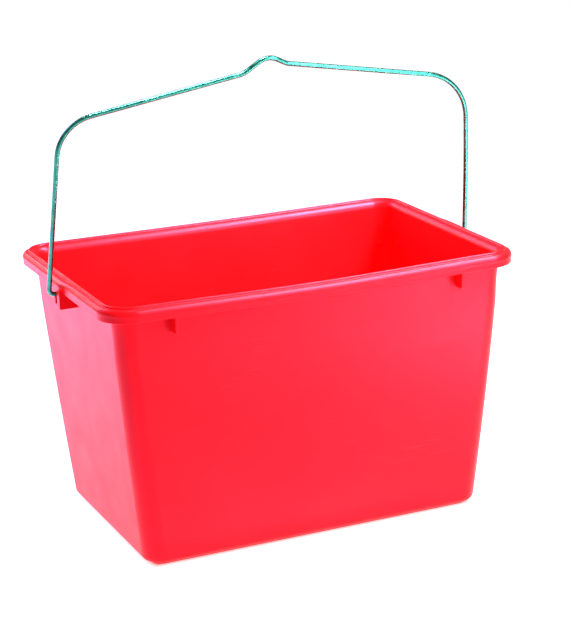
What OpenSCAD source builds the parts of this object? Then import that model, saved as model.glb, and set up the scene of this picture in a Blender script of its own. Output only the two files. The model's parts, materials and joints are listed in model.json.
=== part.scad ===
// Rectangular wash bucket: one injection-moulded tub and one bent wire bail.
// Frame: X along the long side, Y across it (front is -Y), Z up.
// The origin is the middle of the base, on the surface that the bucket stands on.

/* [Tub] */
// Length over the rim
rim_l = 380; // [360:1:420]
// Width over the rim
rim_w = 248; // [230:1:280]
// Height to the top of the rim
tub_h = 235; // [200:1:270]
// Corner radius of the rim in plan
rim_r = 28; // [26:1:34]
// Wall thickness
wall_t = 2; // [1.6:0.1:2.6]
// How far the two short walls lean in from rim to base
lean_x = 20.5; // [12:0.5:26]
// How far the two long walls lean in from rim to base
lean_y = 10; // [6:0.5:20]
// Corner radius of the base in plan
base_r = 18; // [14:1:26]
// Radius of the edge between the walls and the base
base_fillet = 6; // [3:0.5:8]
// Height of the foot ring under the base
foot_h = 2; // [1:0.25:3]

/* [Rim] */
// How far the wall stands in from the rim's outer face
wall_inset = 11.3; // [10.5:0.1:13]
// Height of the rim's hanging skirt, from the top of the lip
skirt_h = 12.5; // [11:0.5:14]
// Thickness of the skirt
skirt_t = 1.8; // [1.4:0.1:2.2]
// Depth of the outer roll below the inner lip
lip_step = 1.9; // [1.2:0.1:2.4]

/* [Ears] */
// Width of each ear
ear_w = 18; // [16:0.5:24]
// How far each ear stands out from the skirt
ear_out = 2.6; // [2:0.1:4]
// Lower end of the ear, below the top of the rim
ear_drop = 26.5; // [25:0.5:32]
// Depth of the bail hole below the top of the rim
hole_drop = 14.5; // [14:0.5:16]
// Length of the entry slot below the bail hole
slot_l = 8.5; // [7:0.5:9]
// Clearance around the wire in its hole, on the radius
hole_clearance = 0.08; // [0.02:0.01:0.1]

/* [Ribs] */
// Distance of each rib on the long walls from the middle
rib_x = 131; // [110:1:140]
// Thickness of the ribs
rib_t = 2.4; // [1.8:0.1:3]

/* [Bail] */
// Wire diameter
wire_d = 4.2; // [3.5:0.1:4.6]
// Half the distance between the legs, at the hinge
leg_x = 200.8; // [200:0.1:203]
// How far each leg leans in, per millimetre of its length
leg_lean = 0.079; // [0.07:0.001:0.08]
// Height of the shoulder corners above the hinge
shoulder_z = 151.3; // [145:0.5:160]
// Rise of the shoulders towards the middle, in degrees
shoulder_rise = 9.6; // [6:0.1:12]
// Half the width of the raised grip in the middle
grip_x = 24; // [22:0.5:28]
// Slope of the sides of the raised grip, in degrees
grip_slope = 31; // [28:1:34]
// How far the bail leans to the front from upright, in degrees
bail_tilt = 10; // [-40:1:40]

/* [Hidden] */

tub_red = [0.86, 0.02, 0.03];
zinc = [0.55, 0.63, 0.6];

eps = 0.01;
wall_top = tub_h - 9;                       // the walls end inside the rim's flare
inset_top = wall_inset - 0.15;
base_x = rim_l / 2 - wall_inset - lean_x;   // half sizes of the outer base
base_y = rim_w / 2 - wall_inset - lean_y;
wall_r = rim_r - wall_inset;

bore_r = wire_d / 2 + hole_clearance;
hinge_z = tub_h - hole_drop;
ear_face = rim_l / 2 + ear_out;
ear_t = 3;
ear_shoulder = 29;                          // how far the ear's top runs along the rim
gusset_t = 2;
rib_drop = 26.5;
rib_in = 1.2;                               // ribs stop this far behind the skirt's face

bend_r = 5;
bend_d = wire_d - 0.05;                     // the wire draws down a little where it is bent
bend_lap = 0.25;                            // each bend runs this far into its straights
shoulder_r = 34;
grip_base_r = 20;
grip_top_r = 20;
paddle_x = 183;                             // flattened wire end inside the ear
paddle_l = 4.6;
paddle_w = 7;
paddle_t = 2.4;

// Points along an arc from angle a0 to a1
function arc(cx, cy, r, a0, a1, n) =
    [for (i = [0:n]) let (a = a0 + (a1 - a0) * i / n) [cx + r * cos(a), cy + r * sin(a)]];

// Section through the rim: [distance out from the rim's outer face, height from its top]
roll_r = 4.6;
flare_x = -5.4;
flare_z = -9;
flare_in = 8;
flare_out = 5.5;
lip_x = -6.4;
rim_section = concat(
    [[0, -skirt_h]],
    arc(-roll_r, -lip_step - roll_r, roll_r, 0, 90, 6),
    arc(lip_x, -1, 1, 30, 150, 4),
    arc(flare_x, flare_z, flare_in, 108, 180, 6),
    [[flare_x - flare_in, flare_z - 2]],
    [[flare_x - flare_out, flare_z - 2]],
    arc(flare_x, flare_z, flare_out, 180, 112, 5),
    arc(-roll_r, -lip_step - roll_r, roll_r - skirt_t, 90, 0, 5),
    [[-skirt_t, -skirt_h]]
);

module rim_band() {
    cx = rim_l / 2 - rim_r;
    cy = rim_w / 2 - rim_r;
    for (c = [[cx, cy, 0], [-cx, cy, 90], [-cx, -cy, 180], [cx, -cy, 270]])
        translate([c[0], c[1], tub_h])
            rotate([0, 0, c[2]])
                rotate_extrude(angle = 90, $fn = 72)
                    translate([rim_r, 0])
                        polygon(rim_section);
    // One straight length along each side
    for (s = [[rim_l / 2, cy, 0], [rim_w / 2, cx, 90], [rim_l / 2, cy, 180], [rim_w / 2, cx, 270]])
        rotate([0, 0, s[2]])
            translate([s[0], s[1], tub_h])
                rotate([90, 0, 0])
                    linear_extrude(2 * s[1])
                        polygon(rim_section);
}

// Four corner discs of a rounded rectangle with half sizes hx and hy
module corner_discs(hx, hy, r, z) {
    for (x = [-1, 1], y = [-1, 1])
        translate([x * (hx - r), y * (hy - r), z])
            cylinder(r = r, h = eps, $fn = 32);
}

// A tapered tub shape, set in from the outer walls by t
module tub_shape(t, z_low, z_high) {
    fillet = base_fillet - t / 2;
    hull() {
        for (a = [0, 30, 60, 90])
            corner_discs(
                base_x - t - fillet * (1 - sin(a)),
                base_y - t - fillet * (1 - sin(a)),
                base_r - t - fillet * (1 - sin(a)),
                z_low + fillet * (1 - cos(a)));
        corner_discs(rim_l / 2 - inset_top - t, rim_w / 2 - inset_top - t, wall_r - t, z_high);
    }
}

module walls() {
    difference() {
        tub_shape(0, foot_h, wall_top);
        tub_shape(wall_t, foot_h + wall_t + 0.2, wall_top + eps * 3);
    }
}

module rounded_plate(hx, hy, r, h) {
    linear_extrude(h) {
        square([2 * (hx - r), 2 * hy], center = true);
        square([2 * hx, 2 * (hy - r)], center = true);
        for (x = [-1, 1], y = [-1, 1])
            translate([x * (hx - r), y * (hy - r)])
                circle(r, $fn = 48);
    }
}

module foot_ring() {
    ring_x = base_x - base_fillet - 1;
    ring_y = base_y - base_fillet - 1;
    ring_w = 4;
    difference() {
        rounded_plate(ring_x, ring_y, base_r - 7, foot_h + wall_t);
        translate([0, 0, -1])
            rounded_plate(ring_x - ring_w, ring_y - ring_w, base_r - 11, foot_h + wall_t + 2);
    }
}

// Outline of an ear seen from its end: the top runs out along the rim on both sides
module ear_outline() {
    half = ear_w / 2;
    top = tub_h - lip_step - 0.4;
    low = tub_h - ear_drop;
    side = [
        [half, low],
        [half, tub_h - 11],
        [half + 1.5, tub_h - 7.5],
        [half + 5, tub_h - 5.3],
        [half + 14, tub_h - 3.8],
        [half + ear_shoulder, top]
    ];
    mirrored = [for (i = [len(side) - 1:-1:0]) [-side[i][0], side[i][1]]];
    polygon(concat(side, mirrored));
}

// Section of an ear's plate: [distance from the middle of the tub, height]
module ear_section() {
    round_r = 5;
    top = tub_h - lip_step - 0.4;
    polygon(concat(
        [[ear_face, tub_h - ear_drop]],
        arc(ear_face - round_r, top - round_r, round_r, 0, 90, 5),
        [[ear_face - ear_t - 3.5, top]],
        [[ear_face - ear_t, tub_h - skirt_h]],
        [[ear_face - ear_t, tub_h - ear_drop]]
    ));
}

module ear() {
    difference() {
        union() {
            intersection() {
                translate([0, ear_w, 0])
                    rotate([90, 0, 0])
                        linear_extrude(2 * (ear_w + ear_shoulder), center = true)
                            ear_section();
                rotate([90, 0, 90])
                    linear_extrude(ear_face + 1)
                        ear_outline();
            }
            for (y = [-1, 1])
                translate([0, y * (ear_w - gusset_t) / 2, 0])
                    ear_gusset();
        }
        bail_hole();
    }
}

// Side of the ear's box, from the plate to the tub's wall
module ear_gusset() {
    wall_x = rim_l / 2 - wall_inset - 2.1;
    rotate([90, 0, 0])
        linear_extrude(gusset_t, center = true)
            polygon([
                [ear_face - 1, tub_h - ear_drop],
                [wall_x, tub_h - ear_drop],
                [wall_x, tub_h - flare_in],
                [rim_l / 2 - roll_r, tub_h - lip_step - 1],
                [ear_face - 1, tub_h - skirt_h + 3]
            ]);
}

// Hole for the wire, with the slot that its flattened end enters by
module bail_hole() {
    translate([rim_l / 2 - skirt_t - 1, 0, hinge_z]) {
        rotate([0, 90, 0])
            cylinder(r = bore_r, h = 10, $fn = 48);
        translate([0, -bore_r, -slot_l])
            cube([10, 2 * bore_r, slot_l]);
    }
}

// Ribs under the rim on the long walls
module rim_rib() {
    low = tub_h - rib_drop;
    wall_y = rim_w / 2 - wall_inset - 1.2;
    translate([rib_t / 2, 0, 0])
        rotate([0, -90, 0])
            linear_extrude(rib_t)
                polygon([
                    [low, wall_y - 0.6],
                    [low, rim_w / 2 - rib_in - 1],
                    [low + 1, rim_w / 2 - rib_in],
                    [tub_h - skirt_h + 2, rim_w / 2 - rib_in],
                    [tub_h - 4, rim_w / 2 - roll_r],
                    [tub_h - flare_in, wall_y]
                ]);
}

module tub() {
    color(tub_red) {
        difference() {
            union() {
                walls();
                rim_band();
            }
            for (a = [0, 180])
                rotate([0, 0, a])
                    bail_hole();
        }
        foot_ring();
        for (a = [0, 180])
            rotate([0, 0, a]) {
                ear();
                for (x = [-1, 1])
                    translate([x * rib_x, 0, 0])
                        rim_rib();
            }
    }
}

// Corners of the wire's centre line from end to end, as [x, height above the hinge, bend radius]
shoulder_x = leg_x - leg_lean * shoulder_z;
grip_z = shoulder_z + (shoulder_x - grip_x) * tan(shoulder_rise);
grip_top = grip_z + grip_x * tan(grip_slope);
wire_path = [
    [paddle_x + paddle_l - 1, 0, 0],
    [leg_x, 0, bend_r],
    [shoulder_x, shoulder_z, shoulder_r],
    [grip_x, grip_z, grip_base_r],
    [0, grip_top, grip_top_r],
    [-grip_x, grip_z, grip_base_r],
    [-shoulder_x, shoulder_z, shoulder_r],
    [-leg_x, 0, bend_r],
    [-paddle_x - paddle_l + 1, 0, 0]
];

function xz(p) = [p[0], p[1]];
function unit(v) = v / norm(v);
// Direction of the path from corner i to the next
function heading(i) = unit(xz(wire_path[i + 1]) - xz(wire_path[i]));
// How much the path turns at corner i, in degrees
function turn(i) = acos(heading(i - 1) * heading(i));
// Length of each straight taken up by the bend at corner i
function trim(i) =
    i <= 0 || i >= len(wire_path) - 1 ? 0 : wire_path[i][2] * tan(turn(i) / 2);

// One straight length of wire from point a to point b in the plane of the bail
module wire_straight(a, b) {
    d = b - a;
    translate([a[0], 0, a[1]])
        rotate([0, atan2(d[0], d[1]), 0])
            cylinder(d = wire_d, h = norm(d), $fn = 32);
}

// One bend, tangent to both straights that meet at corner i
module wire_bend(i) {
    lap = bend_lap / wire_path[i][2] * 180 / PI;
    sweep = turn(i) + 2 * lap;
    r = wire_path[i][2];
    inward = unit(heading(i) - heading(i - 1));
    away = -inward * r / cos(turn(i) / 2);
    centre = xz(wire_path[i]) - away;
    middle = atan2(away[1], away[0]);
    translate([centre[0], 0, centre[1]])
        rotate([90, 0, 0])
            rotate([0, 0, middle - sweep / 2])
                rotate_extrude(angle = sweep, $fn = 96)
                    translate([r, 0])
                        circle(d = bend_d, $fn = 32);
}

// Flattened end of the wire, which keeps it in the ear
module paddle() {
    translate([paddle_x, 0, 0])
        rotate([0, 0, 90])
            translate([0, -paddle_l / 2, -paddle_t / 2])
                linear_extrude(paddle_t) {
                    square([paddle_w - 2, paddle_l], center = true);
                    square([paddle_w, paddle_l - 2], center = true);
                    for (x = [-1, 1], y = [-1, 1])
                        translate([x * (paddle_w / 2 - 1), y * (paddle_l / 2 - 1)])
                            circle(1, $fn = 24);
                }
}

module bail() {
    color(zinc)
        translate([0, 0, hinge_z])
            rotate([bail_tilt, 0, 0]) {
                for (i = [0:len(wire_path) - 2]) {
                    a = xz(wire_path[i]) + heading(i) * trim(i);
                    b = xz(wire_path[i + 1]) - heading(i) * trim(i + 1);
                    wire_straight(a, b);
                }
                for (i = [1:len(wire_path) - 2])
                    wire_bend(i);
                for (a = [0, 180])
                    rotate([0, 0, a])
                        paddle();
            }
}

tub();
bail();
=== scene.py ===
"""Looks of the wash bucket: a smooth moulded tub and a swept wire bail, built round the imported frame."""
import json
import math

import bmesh
import bpy
from mathutils import Matrix, Vector


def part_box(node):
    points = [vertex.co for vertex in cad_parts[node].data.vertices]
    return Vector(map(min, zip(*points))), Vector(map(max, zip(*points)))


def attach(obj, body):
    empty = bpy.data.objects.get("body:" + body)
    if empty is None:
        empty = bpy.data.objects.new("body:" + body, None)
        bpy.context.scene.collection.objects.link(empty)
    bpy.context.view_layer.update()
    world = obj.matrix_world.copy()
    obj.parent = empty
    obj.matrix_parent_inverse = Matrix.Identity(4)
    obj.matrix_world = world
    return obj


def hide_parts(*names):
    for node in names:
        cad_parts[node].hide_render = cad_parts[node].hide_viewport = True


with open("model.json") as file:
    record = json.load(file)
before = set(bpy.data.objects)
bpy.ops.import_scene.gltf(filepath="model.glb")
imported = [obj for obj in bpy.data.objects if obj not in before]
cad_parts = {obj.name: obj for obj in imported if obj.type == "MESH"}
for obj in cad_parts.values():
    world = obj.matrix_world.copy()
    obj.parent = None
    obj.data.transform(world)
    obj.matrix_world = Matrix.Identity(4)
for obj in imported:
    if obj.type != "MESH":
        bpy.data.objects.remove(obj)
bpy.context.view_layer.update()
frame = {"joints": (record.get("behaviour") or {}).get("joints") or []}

# Shapes are worked out in millimetres and scaled to metres when a mesh is made.
MM = 0.001

# ---------------------------------------------------------------- sizes of the tub
tub_low, tub_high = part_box("tub")
HINGE = Vector(frame["joints"][0]["pos_m"])
EAR_OUT = 2.6                                   # how far the ears stand out from the rim
HALF_L = tub_high.x / MM - EAR_OUT              # half the rim's length
HALF_W = tub_high.y / MM                        # half the rim's width
TOP = tub_high.z / MM
RIM_R = 28.0                                    # corner radius of the rim in plan
WALL_T = 2.0
WALL_INSET = 11.15                              # wall's outer face behind the rim's, at the top
WALL_R = 16.7                                   # corner radius at the top of the wall
WALL_TOP = TOP - 9.0
LEAN_X = 20.65                                  # how far the end walls lean in
LEAN_Y = 10.15                                  # how far the long walls lean in
BASE_R = 18.0
FOOT_H = 2.0
FILLET = 6.0                                    # edge between the walls and the base
FLOOR_Z = FOOT_H + WALL_T + 0.2
FLOOR_FILLET = 5.0

# Rim section: u runs out from the rim's outer face, v up from the top of the lip
SKIRT_V = -12.5
SKIRT_U = -0.3                                  # the skirt stands behind the roll by this much
SKIRT_IN = -1.8
ROLL_R = 4.6
ROLL_V = -1.9                                   # top of the roll
FLARE_U, FLARE_V = -5.4, -9.0                   # centre of the flare's two arcs
FLARE_IN, FLARE_OUT = 7.75, 5.75
LIP_U, LIP_R = -6.4, 1.0
EAR_V = -26.5                                   # lower end of the ears and ribs
EAR_IN = EAR_OUT - 3.0
EAR_HALF = 9.0
GUSSET_IN = 7.0
LEDGE_END = 39.0                                # where the ear's top edge runs out into the rim
LEDGE_LOW, LEDGE_HIGH = -11.0, -3.0
HOLE_R = 2.18
HOLE_V = HINGE.z / MM - TOP
HOLE_EDGE = 0.45                                # rounding of the hole's edges on both faces of the ear
SLOT_L = 8.5                                    # the entry slot's lower end, below the hole's middle
SLOT_CORNER = 0.6
RIB_X = 131.0
RIB_HALF = 1.2
RIB_U = -1.2
EDGE_R = 0.4                                    # rounding of the lower edges of skirt, ears and ribs
RIB_ROOT = 0.8                                  # the ribs and gussets run into the wall this far below

# Nesting marks on the inner walls: place along the side, top and lower end below the rim
MARK_END_WALL = (84.2, -12.0, -39.0)            # place in millimetres
MARK_CORNER = (61.0, -18.0, -43.0)              # place in degrees
MARK_STEP = 0.26                                # millimetres across for each degree of the corner
MARK_RIB, MARK_PIP = 0.45, 1.3                  # how far the rib and the pip stand out
PIP_HALF_W, PIP_HALF_H = 2.3, 3.0

# How far the moulding has warped
FRONT_SAG, BACK_SAG = 2.2, 0.9                  # long rims, at their middle
WALL_DRAW = 0.9                                 # long walls, inward
RIGHT_BULGE, LEFT_BULGE = 2.2, 1.1              # end walls, outward

# Number of mesh rows along each stretch of the rim section
ROWS_WALL, ROWS_UNDER, ROWS_INNER = 6, 8, 13
ROWS_EDGE, ROWS_FACE, ROWS_LEDGE, ROWS_ROLL = 6, 12, 4, 12
# Stations up to these distances from the middle of each side stay in line on every row
FIXED_Y, FIXED_X = 45.0, 136.0
CORNER_STEPS = 32
PATCH = 5                                       # columns on either side of an ear's middle cut for its hole


def lerp(a, b, t):
    return tuple(p + (q - p) * t for p, q in zip(a, b))


def smooth(low, high, value):
    t = min(max((value - low) / (high - low), 0.0), 1.0)
    return t * t * (3 - 2 * t)


def arc(u, v, r, a0, a1, n):
    steps = [math.radians(a0 + (a1 - a0) * i / n) for i in range(n + 1)]
    return [(u + r * math.cos(a), v + r * math.sin(a)) for a in steps]


def resample(path, n):
    """n + 1 points at equal distances along a path."""
    lengths = [math.dist(p, q) for p, q in zip(path, path[1:])]
    total = sum(lengths)
    points = [path[0]]
    i, passed = 0, 0.0
    for k in range(1, n):
        goal = total * k / n
        while passed + lengths[i] < goal:
            passed += lengths[i]
            i += 1
        points.append(lerp(path[i], path[i + 1], (goal - passed) / lengths[i]))
    return points + [path[-1]]


def at_height(path, v):
    """Point where a rising path of (u, v) reaches height v."""
    for p, q in zip(path, path[1:]):
        if p[1] <= v <= q[1] and q[1] > p[1]:
            return lerp(p, q, (v - p[1]) / (q[1] - p[1]))
    return path[-1]


def below(path, v):
    return [p for p in path if p[1] < v - 1e-6] + [at_height(path, v)]


def above(path, v):
    return [at_height(path, v)] + [p for p in path if p[1] > v + 1e-6]


# ---------------------------------------------------------------- levels
# A level is (half length, half width, corner radius, height): one rounded rectangle of the tub.
def rim_level(u, v):
    return (HALF_L + u, HALF_W + u, RIM_R + u, TOP + v)


def wall_level(z, out=0.0):
    t = (WALL_TOP - z) / (WALL_TOP - FOOT_H - FILLET)
    return (HALF_L - WALL_INSET - LEAN_X * t + out, HALF_W - WALL_INSET - LEAN_Y * t + out,
            WALL_R + (BASE_R - WALL_R) * t + out, z)


def inset(level, d, z):
    return (level[0] - d, level[1] - d, max(level[2] - d, 0.0), z)


def base_levels():
    """Underside from its middle line out over the foot ring and round the edge to the wall."""
    edge = wall_level(FOOT_H + FILLET)
    middle = edge[1]
    ring = [(11.6, FOOT_H), (11.1, FOOT_H - 0.3), (11.0, 0.5), (10.85, 0.15), (10.5, 0.0),
            (7.5, 0.0), (7.15, 0.15), (7.0, 0.5), (6.9, FOOT_H - 0.3), (6.5, FOOT_H)]
    dome = [1.0, 0.8, 0.6, 0.4, 0.25, 0.16]
    levels = [inset(edge, middle * k, FOOT_H + 0.5 * k) for k in dome]
    levels += [inset(edge, d, z) for d, z in ring]
    for i in range(9):
        a = math.radians(90 * i / 8)
        levels.append(inset(edge, FILLET * (1 - math.sin(a)), FOOT_H + FILLET * (1 - math.cos(a))))
    return levels


def floor_levels():
    """Inner wall from the rim down, round the inner edge and across the floor to its middle line."""
    # Close rows as far down as the nesting marks reach, then wider ones
    levels = [wall_level(WALL_TOP - 1.1 * i, -WALL_T) for i in range(1, 36)]
    low = FLOOR_Z + FLOOR_FILLET
    z_last = levels[-1][3]
    levels += [wall_level(z_last + (low - z_last) * i / 10, -WALL_T) for i in range(1, 11)]
    edge = levels[-1]
    for i in range(1, 9):
        a = math.radians(90 * i / 8)
        levels.append(inset(edge, FLOOR_FILLET * (1 - math.cos(a)), low - FLOOR_FILLET * math.sin(a)))
    edge = levels[-1]
    levels += [inset(edge, edge[1] * k, FLOOR_Z + 0.5 * k) for k in (0.04, 0.12, 0.25, 0.45, 0.7, 1.0)]
    return levels


SKIRT_FACE = [(SKIRT_U, SKIRT_V + EDGE_R), (SKIRT_U, -8.1), (SKIRT_U + 0.08, -7.75)]
ROLL = SKIRT_FACE + arc(-ROLL_R, ROLL_V - ROLL_R, ROLL_R, -9, 90, 24)
LIP = ([(-4.95, -1.98), (-5.2, -1.9), (-5.36, -1.55)] + arc(LIP_U, -LIP_R, LIP_R, 0, 150, 8)
       + [(-7.5, -1.05), (-7.68, -1.42)] + arc(FLARE_U, FLARE_V, FLARE_IN, 110, 180, 12))
UNDER = (arc(FLARE_U, FLARE_V, FLARE_OUT, 180, 112, 12)
         + arc(-ROLL_R, ROLL_V - ROLL_R, ROLL_R + SKIRT_IN, 90, 0, 12))


def proud_path(grow):
    """Outer face where an ear stands out, from nothing at 0 to the ear's whole thickness at 1."""
    centre_u = -ROLL_R + 2.0 * grow
    radius = ROLL_R + (EAR_OUT - 2.0) * grow
    face = centre_u + radius
    return ([(face, EAR_V + EDGE_R), (face, ROLL_V - radius)]
            + arc(centre_u, ROLL_V - radius, radius, 0, 90, 24)[1:] + [(-ROLL_R, ROLL_V + 0.001)])


def outer_face(low_path, grow, ledge):
    """Skirt, ledge and roll up to the groove beside the lip."""
    proud = proud_path(grow)
    foot, head = at_height(low_path, ledge - 0.15), at_height(proud, ledge + 0.15)
    step = [foot, (foot[0] * 0.9 + head[0] * 0.1, ledge), (head[0] * 0.85 + foot[0] * 0.15, ledge), head]
    return (resample(below(low_path, ledge - 0.15), ROWS_FACE) + resample(step, ROWS_LEDGE)[1:]
            + resample(above(proud, ledge + 0.15), ROWS_ROLL)[1:])


def rounded_edge(u0, u1, v, r=EDGE_R):
    """Lower edge of a skirt or plate between its inner face u0 and its outer face u1."""
    return [(u0, v + r), (u0 + 0.3 * r, v + 0.3 * r), (u0 + r, v), ((u0 + u1) / 2, v),
            (u1 - r, v), (u1 - 0.3 * r, v + 0.3 * r), (u1, v + r)]


def section(inner, edge, face):
    """Levels of the rim from the wall's outer face round to its inner face."""
    rim = [rim_level(u, v) for u, v in edge[1:] + face[1:] + LIP]
    return inner + rim


def wall_rows():
    """Wall behind the ears and ribs, from just below them up to the flare."""
    low, high = TOP + EAR_V - RIB_ROOT, TOP + FLARE_V
    return [wall_level(low + (high - low) * i / ROWS_WALL) for i in range(ROWS_WALL + 1)]


def plain_section(grow=0.0, ledge=LEDGE_HIGH):
    inner = wall_rows() + [rim_level(*p) for p in resample(UNDER, ROWS_UNDER)[1:]]
    skirt = [(SKIRT_IN, ROLL_V - ROLL_R), (SKIRT_IN, SKIRT_V + EDGE_R)]
    inner += [rim_level(*p) for p in resample(skirt, ROWS_INNER)[1:]]
    return section(inner, rounded_edge(SKIRT_IN, SKIRT_U, SKIRT_V), outer_face(ROLL, grow, ledge))


def ear_section():
    inner = wall_rows()
    under = [p for p in UNDER if p[0] < -3.0] + [(-1.4, -7.4), (EAR_IN, -9.4)]
    inner += [rim_level(*p) for p in resample(under, ROWS_UNDER)[1:]]
    plate = [(EAR_IN, -9.4), (EAR_IN, EAR_V + EDGE_R)]
    inner += [rim_level(*p) for p in resample(plate, ROWS_INNER)[1:]]
    return section(inner, rounded_edge(EAR_IN, EAR_OUT, EAR_V), outer_face(proud_path(1), 1, LEDGE_LOW))


def solid_inner(corner):
    """Bottom path of a rib or gusset, from the wall's outer face out to its edge."""
    foot = TOP + EAR_V
    start = [wall_level(foot - RIB_ROOT), inset(wall_level(foot - 0.25), -0.25, foot - 0.25),
             inset(wall_level(foot), -0.8, foot)]
    path = start + [rim_level(*p) for p in corner]
    return resample(path, ROWS_WALL + ROWS_UNDER + ROWS_INNER)


def solid_edge(u0, u1, v):
    """Lower edge of a rib or gusset, rounded only on the outside."""
    flat = [(u0 + (u1 - EDGE_R - u0) * i / 4, v) for i in range(5)]
    return flat + [(u1 - 0.3 * EDGE_R, v + 0.3 * EDGE_R), (u1, v + EDGE_R)]


def gusset_section():
    edge = solid_edge(EAR_IN, EAR_OUT, EAR_V)
    return section(solid_inner([(EAR_IN, EAR_V)]), edge, outer_face(proud_path(1), 1, LEDGE_LOW))


def rib_section():
    corner = [(RIB_U - 1.0, EAR_V), (RIB_U - 0.3, EAR_V + 0.3), (RIB_U, EAR_V + 1.0), (RIB_U, SKIRT_V)]
    edge = solid_edge(RIB_U, SKIRT_U, SKIRT_V)
    return section(solid_inner(corner), edge, outer_face(ROLL, 0.0, LEDGE_HIGH))


# ---------------------------------------------------------------- stations
# A station is (side, place along it, levels). Side 0 is an end wall, 1 a corner and 2 a long wall.
def toward(levels, others, d, side):
    """Levels moved by d towards another section, and at most half way."""
    moved = []
    for p, q in zip(levels, others):
        gap = math.hypot(q[side // 2] - p[side // 2], q[3] - p[3])
        moved.append(lerp(p, q, min(d / gap, 0.5)) if gap > 1e-9 else p)
    return moved


def step(side, place, way, low, high, root=0.6, edge=0.35):
    """Stations across the side face of a rib or plate; way is the direction of its lower side."""
    stations = []
    for i in range(4):
        a = math.radians(30 * i)
        stations.append((side, place + way * root * (1 - math.sin(a)),
                         toward(low, high, root * (1 - math.cos(a)), side)))
    for i in range(3, -1, -1):
        a = math.radians(30 * i)
        stations.append((side, place - way * edge * (1 - math.sin(a)),
                         toward(high, low, edge * (1 - math.cos(a)), side)))
    return stations if way < 0 else stations[::-1]


def quarter_stations():
    """Stations from the middle of the +X end wall round to the middle of the +Y long wall."""
    plain, ear, gusset, rib = plain_section(), ear_section(), gusset_section(), rib_section()
    ledge_start = plain_section(1.0, LEDGE_LOW)
    stations = [(0, y, ear) for y in (0, 0.9, 1.8, 2.7, 3.6, 4.5, 5.5)]
    stations += step(0, GUSSET_IN, -1, ear, gusset, root=0.5)
    stations += step(0, EAR_HALF, 1, ledge_start, gusset)
    start = EAR_HALF + 0.6
    for y in (9.75, 10.0, 10.4, 11, 12, 13.5, 15.5, 18, 21, 24.5, 28, 32, 35.5):
        q = (y - start) / (LEDGE_END - start)
        ledge = LEDGE_LOW + (LEDGE_HIGH - LEDGE_LOW) * q ** 0.35
        stations.append((0, y, plain_section((1 - q) ** 1.5, ledge)))
    # Close together at the nesting rib, which is 84.2 from the middle
    stations += [(0, y, plain) for y in (39, 44, 51, 58, 65, 72, 78, 81, 82, 82.7, 83.3, 83.8,
                                         84.2, 84.6, 85.1, 85.7, 86.4, 87.4, 91)]
    stations += [(1, 90 * i / CORNER_STEPS, plain) for i in range(CORNER_STEPS + 1)]
    stations += [(2, x, plain) for x in (158, 153, 148, 143, 139, 135.5, 133.6)]
    stations += step(2, RIB_X + RIB_HALF, 1, plain, rib)[::-1]
    stations.append((2, RIB_X, rib))
    stations += step(2, RIB_X - RIB_HALF, -1, plain, rib)[::-1]
    stations += [(2, x, plain) for x in (128.6, 126, 121, 114, 105, 95, 84, 72, 60, 48, 36, 24, 12, 0)]
    return stations


def along(place, fixed, nominal, limit, z):
    """Place of a station on a straight side whose straight stretch is limit long at this level."""
    if place <= fixed:
        held = place
    else:
        held = fixed + (place - fixed) * (limit - fixed) / (nominal - fixed)
    k = smooth(120, 200, z)
    return held * k + place * limit / nominal * (1 - k)


def column(station):
    side, place, levels = station
    nominal_y, nominal_x = HALF_W - RIM_R, HALF_L - RIM_R
    points = []
    for a, b, r, z in levels:
        if side == 0:
            points.append((a, along(place, FIXED_Y, nominal_y, b - r, z), z))
        elif side == 2:
            points.append((along(place, FIXED_X, nominal_x, a - r, z), b, z))
        else:
            turn = math.radians(place)
            points.append((a - r + r * math.cos(turn), b - r + r * math.sin(turn), z))
    return points


def nesting_mark(side, place, z):
    """How far the thin nesting ribs near the inner corners stand out, each ending in a small pip."""
    if side == 2:
        return 0.0
    middle, high, low = MARK_CORNER if side == 1 else MARK_END_WALL
    across = abs(place - middle) * (MARK_STEP if side == 1 else 1)
    v = z - TOP
    length = smooth(low - 1, low + 1, v) * (1 - smooth(high - 5, high + 2, v))
    rib = MARK_RIB * length * (1 - smooth(0.3, 1.1, across))
    pip = MARK_PIP * math.sqrt(max(1 - (across / PIP_HALF_W) ** 2 - ((v - low) / PIP_HALF_H) ** 2, 0))
    return max(rib, pip)


def settle(x, y, z):
    """Cooled mouldings warp: the long rims sag, the long walls draw in and the end walls bulge."""
    middle = math.cos(math.pi / 2 * min(abs(x) / HALF_L, 1)) ** 2
    sag = (FRONT_SAG if y < 0 else BACK_SAG) * middle * smooth(110, TOP, z)
    height = math.sin(math.pi * min(max(z / TOP, 0), 1))
    draw = WALL_DRAW * middle * height * smooth(60, 100, abs(y))
    below_rim = 1 - smooth(185, 212, z)
    bulge = (RIGHT_BULGE if x > 0 else LEFT_BULGE) * height ** 0.6 * smooth(60, 150, abs(x)) * below_rim
    return (x + math.copysign(bulge, x), y - math.copysign(draw, y), z - sag)


def slot_outline(grow):
    """Bail hole and its entry slot as (y, v), clockwise from the top left, one point per patch edge."""
    r = HOLE_R + grow
    low = HOLE_V - SLOT_L - grow
    bend = low + SLOT_CORNER
    cut = 0.3 * SLOT_CORNER
    top = [(r * math.cos(a), HOLE_V + r * math.sin(a)) for a in
           [math.radians(180 - 18 * i) for i in range(11)]]
    side = [(r, HOLE_V + (bend - HOLE_V) * i / 9) for i in range(1, 10)]
    bottom = [(r - SLOT_CORNER - 2 * (r - SLOT_CORNER) * i / 10, low) for i in range(11)]
    left = [(-r, bend + (HOLE_V - bend) * i / 9) for i in range(9)]
    return top + side + [(r - cut, low + cut)] + bottom + [(-r + cut, low + cut)] + left


def new_object(name, bm):
    mesh = bpy.data.meshes.new(name)
    bm.to_mesh(mesh)
    bm.free()
    mesh.validate()
    obj = bpy.data.objects.new(name, mesh)
    bpy.context.scene.collection.objects.link(obj)
    return obj


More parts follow.
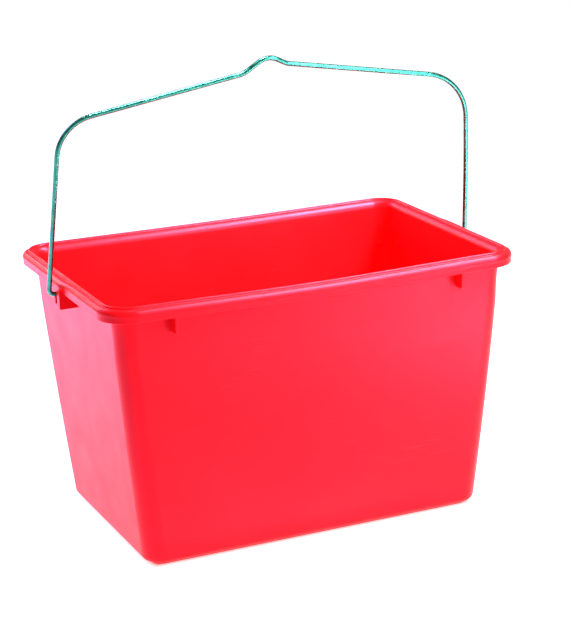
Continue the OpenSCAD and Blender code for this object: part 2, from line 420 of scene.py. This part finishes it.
def make_tub():
    base, floor = base_levels(), floor_levels()
    outer = [wall_level(z) for z in (20, 36, 54, 74, 94, 114, 134, 154, 172, 188, 199)]
    first_inner = len(base) + len(outer) + len(plain_section())
    quarter = []
    for side, place, levels in quarter_stations():
        points = column((side, place, base + outer + levels + floor))
        for i in range(first_inner, len(points)):
            x, y, z = points[i]
            mark = nesting_mark(side, place, z)
            turn = math.radians({0: 0, 1: place, 2: 90}[side])
            points[i] = (x - mark * math.cos(turn), y - mark * math.sin(turn), z)
        quarter.append(points)
    # The other three quarters mirror the first, each without the column that it shares
    columns = list(quarter)
    columns += [[(-x, y, z) for x, y, z in c] for c in quarter[-2::-1]]
    columns += [[(-x, -y, z) for x, y, z in c] for c in quarter[1:]]
    columns += [[(x, -y, z) for x, y, z in c] for c in quarter[-2:0:-1]]

    bm = bmesh.new()
    grid = [[bm.verts.new(settle(*p)) for p in c] for c in columns]
    # Hole patches: rows of the outer and inner faces of each ear
    face_row = len(base) + len(outer) + ROWS_WALL + ROWS_UNDER + ROWS_INNER + ROWS_EDGE
    outer_rows = (face_row + 1, face_row + ROWS_FACE)
    inner_row = len(base) + len(outer) + ROWS_WALL + ROWS_UNDER
    inner_rows = (inner_row + 1, inner_row + ROWS_INNER - 1)
    count = len(grid)
    middles = [0, count // 2]
    for i in range(count):
        near = min(min((i - m) % count, (m - i - 1) % count) for m in middles)
        in_patch = near < PATCH
        for j in range(len(grid[i]) - 1):
            hole = any(low <= j < high for low, high in (outer_rows, inner_rows))
            if not (in_patch and hole):
                k = (i + 1) % count
                bm.faces.new((grid[i][j], grid[k][j], grid[k][j + 1], grid[i][j + 1]))
    for m, sign in zip(middles, (1, -1)):
        ear_hole(bm, grid, m, sign, outer_rows, inner_rows)
    bmesh.ops.remove_doubles(bm, verts=bm.verts, dist=0.004)
    bmesh.ops.dissolve_degenerate(bm, dist=0.002, edges=bm.edges)
    bmesh.ops.recalc_face_normals(bm, faces=bm.faces)
    bmesh.ops.scale(bm, vec=(MM, MM, MM), verts=bm.verts)
    return new_object("tub_moulding", bm)


def ear_hole(bm, grid, middle, sign, outer_rows, inner_rows):
    """Joins the gaps left in both faces of an ear by the wall of its hole, with rounded edges."""
    count = len(grid)
    # In the order of slot_outline: left to right along the top, down, back and up
    steps = [sign * k for k in range(-PATCH, PATCH + 1)]

    def loop(rows):
        low, high = rows if grid[middle][rows[0]].co.z < grid[middle][rows[1]].co.z else rows[::-1]
        way = 1 if high > low else -1
        cols = [(middle + s) % count for s in steps]
        edge = [grid[c][high] for c in cols]
        edge += [grid[cols[-1]][j] for j in range(high - way, low - way, -way)]
        edge += [grid[c][low] for c in cols[-2::-1]]
        edge += [grid[cols[0]][j] for j in range(low + way, high, way)]
        return edge

    def ring(grow, u):
        return [bm.verts.new((sign * (HALF_L + u), y, TOP + v)) for y, v in slot_outline(grow)]

    wide, mid = HOLE_EDGE, 0.13                 # the rounded edge's width, and its halfway point
    rings = [loop(outer_rows), ring(wide, EAR_OUT), ring(mid, EAR_OUT - mid), ring(0, EAR_OUT - wide),
             ring(0, EAR_IN + wide), ring(mid, EAR_IN + mid), ring(wide, EAR_IN), loop(inner_rows)]
    for a, b in zip(rings, rings[1:]):
        n = len(a)
        for i in range(n):
            bm.faces.new((a[i], a[(i + 1) % n], b[(i + 1) % n], b[i]))


# ---------------------------------------------------------------- bail
WIRE_R = 2.1
BAIL_TILT = 10.0                                # the bail leans this far to the front at rest
WIRE_END = 183.0                                # inner end of the wire, flattened
RIGHT_LEG, LEFT_LEG = 200.7, 198.7              # where the legs stand at the hinge
BEND_R = 5.0
# Corners of the hand-bent wire, as (x, height above the hinge, bend radius); the two arms differ a little
RIGHT_CORNERS = [(WIRE_END, 0, 0), (RIGHT_LEG, 0, BEND_R), (187.5, 153.0, 48), (13.0, 183.2, 13)]
GRIP_TOP = [(-5.0, 192.2, 17)]
LEFT_CORNERS = [(-26.0, 178.0, 21), (-188.9, 150.9, 35), (-LEFT_LEG, 0, BEND_R), (-WIRE_END, 0, 0)]
LEG_BOW = 1.0                                   # the right leg bows out by this
PADDLE_END, ROUND_START = 187.4, 190.6          # the flat narrows to round wire between these
PADDLE_W, PADDLE_T = 3.5, 1.2                   # half width and half thickness of the flat
WIRE_SIDES = 28
PATH_STEP = 5.0                                 # distance between the rings of a straight stretch
BEND_STEP = 4.5                                 # degrees between the rings of a bend
END_ROWS = 14
END_BEVEL = 0.45                                # the cut ends of the wire are rounded by this


def rounded_path(corners, spacing):
    """Points along a path whose corners are bent to their radii."""
    points = []
    last = Vector(corners[0][:2])
    for (x0, z0, _), (x, z, r), (x1, z1, _) in zip(corners, corners[1:], corners[2:]):
        corner = Vector((x, z))
        back = (Vector((x0, z0)) - corner).normalized()
        on = (Vector((x1, z1)) - corner).normalized()
        turn = math.pi - back.angle(on)
        trim = r * math.tan(turn / 2)
        start, end = corner + back * trim, corner + on * trim
        pieces = max(int((start - last).length / spacing), 1)
        points += [last.lerp(start, i / pieces) for i in range(pieces)]
        centre = corner + (back + on).normalized() * r / math.cos(turn / 2)
        swing = (start - centre).angle_signed(end - centre)
        steps = max(int(math.degrees(turn) / BEND_STEP), 3)
        for i in range(steps):
            a = -swing * i / steps
            arm = start - centre
            points.append(centre + Vector((arm.x * math.cos(a) - arm.y * math.sin(a),
                                           arm.x * math.sin(a) + arm.y * math.cos(a))))
        last = end
    goal = Vector(corners[-1][:2])
    pieces = max(int((goal - last).length / spacing), 1)
    return points + [last.lerp(goal, i / pieces) for i in range(pieces + 1)]


def wire_section(x):
    """Half width across the bail's plane and half thickness in it, at distance x from the middle."""
    flat = 1 - smooth(PADDLE_END, ROUND_START, abs(x))
    return WIRE_R + (PADDLE_W - WIRE_R) * flat, WIRE_R + (PADDLE_T - WIRE_R) * flat, flat


def bowed(p):
    """The right leg isn't quite straight."""
    if p.x < 0:
        return p
    return Vector((p.x + LEG_BOW * math.sin(math.pi * min(p.y / 150, 1)), p.y))


def make_bail():
    path = rounded_path(RIGHT_CORNERS + GRIP_TOP + LEFT_CORNERS, PATH_STEP)
    # Close rows where the wire changes from flat to round
    dense = [p for p in path if abs(p.x) >= ROUND_START + 1 or p.y > BEND_R]
    last = ROUND_START + 0.5
    end_rows = [WIRE_END + (last - WIRE_END) * i / END_ROWS for i in range(END_ROWS + 1)]
    path = ([Vector((x, 0)) for x in end_rows] + [bowed(p) for p in dense]
            + [Vector((-x, 0)) for x in end_rows[::-1]])
    bm = bmesh.new()
    rings = []
    ends = (0, len(path) - 1)
    for i, p in enumerate(path):
        ahead = (path[min(i + 1, len(path) - 1)] - path[max(i - 1, 0)]).normalized()
        across = Vector((ahead.y, -ahead.x))
        low_end = p.y < BEND_R / 2 and abs(p.x) < LEFT_LEG - BEND_R
        wide, thick, flat = wire_section(p.x) if low_end else (WIRE_R, WIRE_R, 0.0)
        if i in ends:
            wide, thick = wide - END_BEVEL, thick - END_BEVEL
        elif i in (1, len(path) - 2):
            wide, thick = wide - 0.05, thick - 0.05
        power = 1 - 0.45 * flat                 # below 1 the round section grows square corners
        ring = []
        for k in range(WIRE_SIDES):
            a = 2 * math.pi * k / WIRE_SIDES
            c, s = math.cos(a), math.sin(a)
            out = thick * math.copysign(abs(c) ** power, c)
            side = wide * math.copysign(abs(s) ** power, s)
            ring.append(bm.verts.new((p.x + across.x * out, side, p.y + across.y * out)))
        rings.append(ring)
    for a, b in zip(rings, rings[1:]):
        for k in range(WIRE_SIDES):
            bm.faces.new((a[k], a[(k + 1) % WIRE_SIDES], b[(k + 1) % WIRE_SIDES], b[k]))
    for ring in (rings[0], rings[-1]):
        middle = bm.verts.new(sum((v.co for v in ring), Vector()) / WIRE_SIDES)
        for k in range(WIRE_SIDES):
            bm.faces.new((ring[k], ring[(k + 1) % WIRE_SIDES], middle))
    bmesh.ops.recalc_face_normals(bm, faces=bm.faces)
    bmesh.ops.scale(bm, vec=(MM, MM, MM), verts=bm.verts)
    lean = Matrix.Rotation(math.radians(BAIL_TILT), 3, "X")
    bmesh.ops.rotate(bm, cent=(0, 0, 0), matrix=lean, verts=bm.verts)
    bmesh.ops.translate(bm, vec=HINGE, verts=bm.verts)
    return new_object("bail_rod", bm)


def shade_smooth(obj, angle):
    for polygon in obj.data.polygons:
        polygon.use_smooth = True
    obj.data.set_sharp_from_angle(angle=math.radians(angle))
    weighted = obj.modifiers.new("even_normals", "WEIGHTED_NORMAL")
    weighted.keep_sharp = True
    weighted.weight = 50


# ---------------------------------------------------------------- materials
class Nodes:
    """Short calls for making and joining the nodes of one material."""

    def __init__(self, name):
        self.material = bpy.data.materials.new(name)
        self.material.use_nodes = True
        self.tree = self.material.node_tree
        self.shader = self.tree.nodes["Principled BSDF"]
        self.place = self.add("ShaderNodeTexCoord").outputs["Object"]

    def add(self, kind, **settings):
        node = self.tree.nodes.new(kind)
        for key, value in settings.items():
            setattr(node, key, value)
        return node

    def join(self, output, socket):
        self.tree.links.new(output, socket)

    def noise(self, scale, detail=4.0, stretch=(1, 1, 1), turn=(0, 0, 0), rough=0.5):
        mapping = self.add("ShaderNodeMapping")
        mapping.inputs["Scale"].default_value = stretch
        mapping.inputs["Rotation"].default_value = [math.radians(a) for a in turn]
        noise = self.add("ShaderNodeTexNoise")
        noise.inputs["Scale"].default_value = scale
        noise.inputs["Detail"].default_value = detail
        noise.inputs["Roughness"].default_value = rough
        self.join(self.place, mapping.inputs["Vector"])
        self.join(mapping.outputs["Vector"], noise.inputs["Vector"])
        return noise.outputs["Fac"]

    def band(self, value, low, high, out_low=0.0, out_high=1.0):
        """Value from low to high spread over out_low to out_high, and held beyond them."""
        node = self.add("ShaderNodeMapRange")
        node.interpolation_type = "SMOOTHSTEP"
        ends = {"From Min": low, "From Max": high, "To Min": out_low, "To Max": out_high}
        for name, number in ends.items():
            node.inputs[name].default_value = number
        self.join(value, node.inputs["Value"])
        return node.outputs["Result"]

    def math(self, operation, a, b):
        node = self.add("ShaderNodeMath", operation=operation)
        for socket, value in zip(node.inputs, (a, b)):
            if isinstance(value, (int, float)):
                socket.default_value = value
            else:
                self.join(value, socket)
        return node.outputs["Value"]

    def mix(self, factor, a, b):
        node = self.add("ShaderNodeMix", data_type="RGBA")
        self.join(factor, node.inputs["Factor"])
        for name, value in (("A", a), ("B", b)):
            socket = next(s for s in node.inputs if s.name == name and s.type == "RGBA")
            if isinstance(value, tuple):
                socket.default_value = (*value, 1)
            else:
                self.join(value, socket)
        return next(s for s in node.outputs if s.type == "RGBA")

    def bump(self, height, distance, strength=1.0, under=None):
        node = self.add("ShaderNodeBump")
        node.inputs["Distance"].default_value = distance
        node.inputs["Strength"].default_value = strength
        self.join(height, node.inputs["Height"])
        if under is not None:
            self.join(under, node.inputs["Normal"])
        return node.outputs["Normal"]

    def scratches(self, stretch, turn):
        """Fine streaks along the axis whose stretch is small, in patches."""
        lines = self.band(self.noise(1.0, 1.0, stretch, turn), 0.66, 0.72)
        patches = self.band(self.noise(11, 2.0, turn=turn), 0.58, 0.70)
        return self.math("MULTIPLY", lines, patches)


def red_plastic():
    """Injection-moulded polypropylene: satin, faintly pebbled, with handling scuffs."""
    n = Nodes("red_polypropylene")
    shader = n.shader
    flow = n.band(n.noise(9, 3.0), 0.3, 0.7)
    base = n.mix(flow, (0.88, 0.0032, 0.0050), (0.93, 0.0044, 0.0068))
    scuffs = n.scratches((26, 1100, 1100), (0, 12, 5))
    colour = n.mix(n.math("MULTIPLY", scuffs, 0.05), base, (0.95, 0.30, 0.40))
    n.join(colour, shader.inputs["Base Color"])
    rough = n.band(n.noise(35, 5.0), 0.25, 0.75, 0.285, 0.35)
    n.join(n.math("ADD", rough, n.math("MULTIPLY", scuffs, 0.15)), shader.inputs["Roughness"])
    pebble = n.bump(n.noise(1500, 2.0), 0.00003, 0.3)
    ripple = n.bump(n.noise(22, 1.0), 0.0006, 0.10, pebble)
    n.join(n.bump(scuffs, 0.00002, 0.4, ripple), shader.inputs["Normal"])
    shader.inputs["IOR"].default_value = 1.49
    shader.inputs["Specular IOR Level"].default_value = 0.26
    shader.inputs["Specular Tint"].default_value = (1.0, 0.42, 0.95, 1)
    return n.material


def zinc_wire():
    """Drawn steel wire with a bluish-green zinc plating, dulled in patches."""
    n = Nodes("zinc_plated_wire")
    shader = n.shader
    patches = n.band(n.noise(160, 4.0), 0.35, 0.65)
    colour = n.mix(patches, (0.045, 0.31, 0.25), (0.07, 0.41, 0.33))
    dull = n.band(n.noise(420, 3.0), 0.58, 0.72)
    colour = n.mix(n.math("MULTIPLY", dull, 0.4), colour, (0.03, 0.18, 0.15))
    n.join(colour, shader.inputs["Base Color"])
    n.join(n.band(n.noise(260, 4.0), 0.3, 0.7, 0.20, 0.34), shader.inputs["Roughness"])
    lines = n.bump(n.noise(900, 3.0, (0.06, 1, 0.25)), 0.00002, 0.12)
    n.join(n.bump(n.noise(380, 2.0), 0.00003, 0.1, lines), shader.inputs["Normal"])
    shader.inputs["Metallic"].default_value = 1.0
    return n.material


FRONT = (0.24, -0.97, 0)                        # level direction in which the floor's painted glow fades


def floor_white():
    """Matt white table with a painted glow, an emission that stands in for light, fading towards the front
    and cut out under the tub as painted contact shade.

    So it stays white in the distance, and the walls mirror a floor that darkens away from them.
    """
    n = Nodes("floor_with_painted_glow")
    n.join(n.mix(n.noise(3, 2.0), (0.90, 0.90, 0.90), (0.93, 0.93, 0.93)), n.shader.inputs["Base Color"])
    n.join(n.band(n.noise(40, 3.0), 0.3, 0.7, 0.6, 0.7), n.shader.inputs["Roughness"])
    n.shader.inputs["Specular IOR Level"].default_value = 0.2
    n.shader.inputs["Emission Color"].default_value = (1, 1, 1, 1)
    # Painted glow: the floor's emission stands in for light, 0.81 near the tub falling to 0.30 towards the
    # front.
    ahead = n.add("ShaderNodeVectorMath", operation="DOT_PRODUCT")
    ahead.inputs[1].default_value = FRONT
    n.join(n.place, ahead.inputs[0])
    painted_glow = n.band(ahead.outputs["Value"], 0.12, 0.40, 0.81, 0.30)
    # Painted contact shade: the glow is switched off under the tub's footprint and just past its edge.
    place = n.add("ShaderNodeSeparateXYZ")
    n.join(n.place, place.inputs["Vector"])
    beside = n.band(n.math("ABSOLUTE", place.outputs["X"], 0), 0.145, 0.156)
    before = n.band(n.math("ABSOLUTE", place.outputs["Y"], 0), 0.090, 0.104)
    outside_painted_shade = n.math("MAXIMUM", beside, before)
    n.join(n.math("MULTIPLY", painted_glow, outside_painted_shade), n.shader.inputs["Emission Strength"])
    return n.material


# ---------------------------------------------------------------- studio
def make_floor():
    size = 40.0                                 # half the side, in metres
    mesh = bpy.data.meshes.new("floor")
    corners = [(-size, -size, 0), (size, -size, 0), (size, size, 0), (-size, size, 0)]
    mesh.from_pydata(corners, [], [(0, 1, 2, 3)])
    floor = bpy.data.objects.new("floor", mesh)
    floor.location.z = tub_low.z - 0.0001       # just clear of the foot ring
    bpy.context.scene.collection.objects.link(floor)
    mesh.materials.append(floor_white())


def look(obj, target, roll=0.0):
    """Turns a camera or light at obj's place to face target."""
    obj.rotation_euler = (Vector(target) - obj.location).to_track_quat("-Z", "Y").to_euler()
    obj.rotation_euler.rotate_axis("Z", math.radians(roll))


def softbox(name, place, target, size, power, colour=(1, 1, 1), spread=180, on=None):
    """A soft light; one with an object to fall on leaves everything else as it is."""
    data = bpy.data.lights.new(name, "AREA")
    data.shape = "RECTANGLE"
    data.size, data.size_y = size
    data.energy = power
    data.color = colour
    data.spread = math.radians(spread)
    light = bpy.data.objects.new(name, data)
    light.location = place
    bpy.context.scene.collection.objects.link(light)
    look(light, target)
    if on is not None:
        lit = bpy.data.collections.new("lit_by_" + name)
        lit.objects.link(on)
        light.light_linking.receiver_collection = lit


def spotlight(name, place, target, cone, power):
    data = bpy.data.lights.new(name, "SPOT")
    data.energy = power
    data.spot_size, data.spot_blend = math.radians(cone), 0.8
    data.shadow_soft_size = 0.12
    light = bpy.data.objects.new(name, data)
    light.location = place
    bpy.context.scene.collection.objects.link(light)
    look(light, target)


def make_lights(tub):
    world = bpy.data.worlds.new("studio")
    world.use_nodes = True
    background = world.node_tree.nodes["Background"]
    background.inputs["Color"].default_value = (1, 1, 1, 1)
    background.inputs["Strength"].default_value = 0.2
    bpy.context.scene.world = world
    middle = (0, 0, TOP * MM / 2)
    softbox("key", (0.62, -0.36, 1.05), (0.58, -0.35, 0), (0.20, 0.30), 5)
    softbox("rim_right", (0.66, -0.45, 1.3), (0.62, -0.45, 0), (1.1, 0.36), 84, on=tub)
    softbox("rim_left", (-0.60, 1.28, 0.80), (-0.18, 0, 0.22), (0.8, 0.8), 7, on=tub)
    softbox("fill", (1.12, -1.99, 1.0), middle, (0.45, 1.3), 34)
    softbox("floor_pool", (0.39, -0.52, 0.16), (0.39, -0.52, 0), (0.08, 0.08), 3.8)
    softbox("back_left", (-0.7, 1.1, 0.9), (-0.5, 0.9, 0), (1.0, 1.0), 16, (1, 0.42, 1), spread=110)
    spotlight("inside", (0.02, 0.0, 1.7), (0.02, 0.0, 0.2), 13, 330)


CAMERA_AZIMUTH, CAMERA_ELEVATION, CAMERA_ROLL = 23.79, 16.68, -1.83
CAMERA_DISTANCE = 1.816
CAMERA_AIM = (0.0202, 0.0064, 0.1642)
CAMERA_LENS = 115.9                             # on a sensor 36 mm wide
CAMERA_SHIFT = (0.0011, 0.0069)


def make_camera():
    data = bpy.data.cameras.new("camera")
    data.sensor_width = 36
    data.lens = CAMERA_LENS
    data.shift_x, data.shift_y = CAMERA_SHIFT
    camera = bpy.data.objects.new("camera", data)
    a, e = math.radians(CAMERA_AZIMUTH), math.radians(CAMERA_ELEVATION)
    back = Vector((-math.sin(a) * math.cos(e), -math.cos(a) * math.cos(e), math.sin(e)))
    camera.location = Vector(CAMERA_AIM) + back * CAMERA_DISTANCE
    bpy.context.scene.collection.objects.link(camera)
    look(camera, CAMERA_AIM, CAMERA_ROLL)
    bpy.context.scene.camera = camera
    bpy.context.scene.view_settings.view_transform = "Standard"


# ---------------------------------------------------------------- the scene
make_camera()
make_floor()

tub = make_tub()
shade_smooth(tub, 55)
tub.data.materials.append(red_plastic())
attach(tub, "tub")
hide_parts("tub")

bail = make_bail()
shade_smooth(bail, 60)
bail.data.materials.append(zinc_wire())
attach(bail, "bail")
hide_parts("bail")

make_lights(tub)
